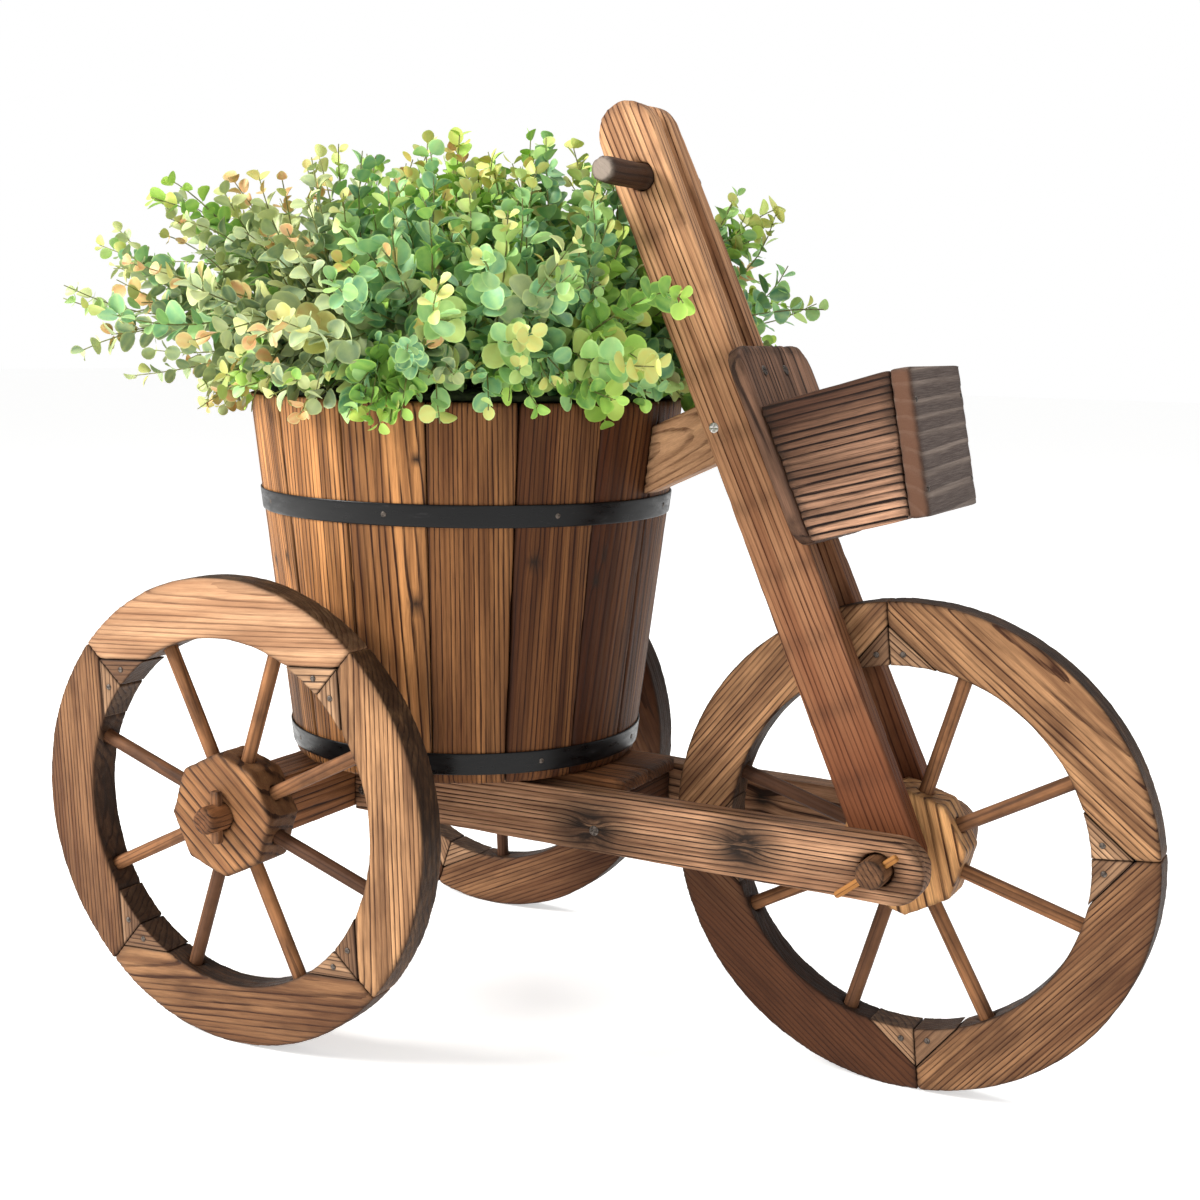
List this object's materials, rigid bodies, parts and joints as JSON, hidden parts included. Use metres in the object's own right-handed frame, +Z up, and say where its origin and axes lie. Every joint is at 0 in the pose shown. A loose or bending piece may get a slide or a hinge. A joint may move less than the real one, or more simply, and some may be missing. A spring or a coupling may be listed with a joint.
{
  "type": "tricycle planter",
  "caption": "Wooden tricycle planter: a stave barrel with a lift-out artificial plant on a three-wheeled chassis with a leaning fork, a handlebar and a small open box.",
  "frame": {"origin": "on the ground, halfway along the overall length, on the centre plane between the rear wheels", "axes": "+X towards the front wheel, +Y to the object's left, +Z up"},
  "size_m": [0.702, 0.47, 0.5932],
  "materials": {
    "fir_tan": "torch-burnt and brushed, waxed",
    "fir_orange": "torch-burnt and brushed, waxed",
    "fir_pale": "lightly burnt, end grain",
    "fir_brown": "torch-burnt and brushed, waxed",
    "fir_grey": "deeply brushed, weathered",
    "fir_char": "charred",
    "black_strap": "satin black",
    "zinc": "zinc plated",
    "leaf_green": "matt coated cloth leaves",
    "stem": "matt",
    "moss": "fibrous, matt"
  },
  "bodies": {
    "root": {"barrel_floor": "fir_char", "barrel_staves": "fir_brown", "box_back_plate": "fir_grey", "box_floor": "fir_grey", "box_front": "fir_grey", "box_nails": "zinc", "box_plate_screws": "zinc", "box_side_left": "fir_grey", "box_side_right": "fir_grey", "brace_board": "fir_tan", "deck_board_left": "fir_tan", "deck_board_right": "fir_tan", "fork_board_left": "fir_orange", "fork_board_right": "fir_orange", "fork_screws": "zinc", "front_axle": "fir_brown", "front_axle_pegs": "fir_brown", "handlebar": "fir_brown", "hoop_nails": "zinc", "lower_hoop": "black_strap", "rail_left": "fir_brown", "rail_right": "fir_brown", "rail_screws": "zinc", "rear_axle_beam": "fir_brown", "rear_axle_pegs": "fir_brown", "stretchers": "fir_char", "upper_hoop": "black_strap"},
    "front_wheel": {"front_hub": "fir_pale", "front_rim_board_1": "fir_tan", "front_rim_board_2": "fir_orange", "front_rim_board_3": "fir_tan", "front_rim_board_4": "fir_orange", "front_rim_corners": "fir_brown", "front_rim_nails": "zinc", "front_spokes": "fir_tan"},
    "rear_right_wheel": {"rear_right_hub": "fir_pale", "rear_right_rim_board_1": "fir_tan", "rear_right_rim_board_2": "fir_orange", "rear_right_rim_board_3": "fir_tan", "rear_right_rim_board_4": "fir_orange", "rear_right_rim_corners": "fir_brown", "rear_right_rim_nails": "zinc", "rear_right_spokes": "fir_tan"},
    "rear_left_wheel": {"rear_left_hub": "fir_pale", "rear_left_rim_board_1": "fir_tan", "rear_left_rim_board_2": "fir_orange", "rear_left_rim_board_3": "fir_tan", "rear_left_rim_board_4": "fir_orange", "rear_left_rim_corners": "fir_brown", "rear_left_rim_nails": "zinc", "rear_left_spokes": "fir_tan"},
    "plant": {"foliage": "leaf_green", "foliage_stems": "stem", "plant_base": "moss"}
  },
  "joints": [
    {"name": "front_wheel_spin", "type": "hinge", "parent": "root", "child": "front_wheel", "pos_m": [0.201, 0, 0.15], "axis": [0, 1, 0], "continuous": true},
    {"name": "rear_right_wheel_spin", "type": "hinge", "parent": "root", "child": "rear_right_wheel", "pos_m": [-0.1885, -0.1564, 0.15], "axis": [0, 1, 0], "continuous": true},
    {"name": "rear_left_wheel_spin", "type": "hinge", "parent": "root", "child": "rear_left_wheel", "pos_m": [-0.1885, 0.1564, 0.15], "axis": [0, 1, 0], "continuous": true},
    {"name": "plant_lift", "type": "slide", "parent": "root", "child": "plant", "axis": [-0.4131, 0, 0.9107], "range_m": [0, 0.3]}
  ]
}
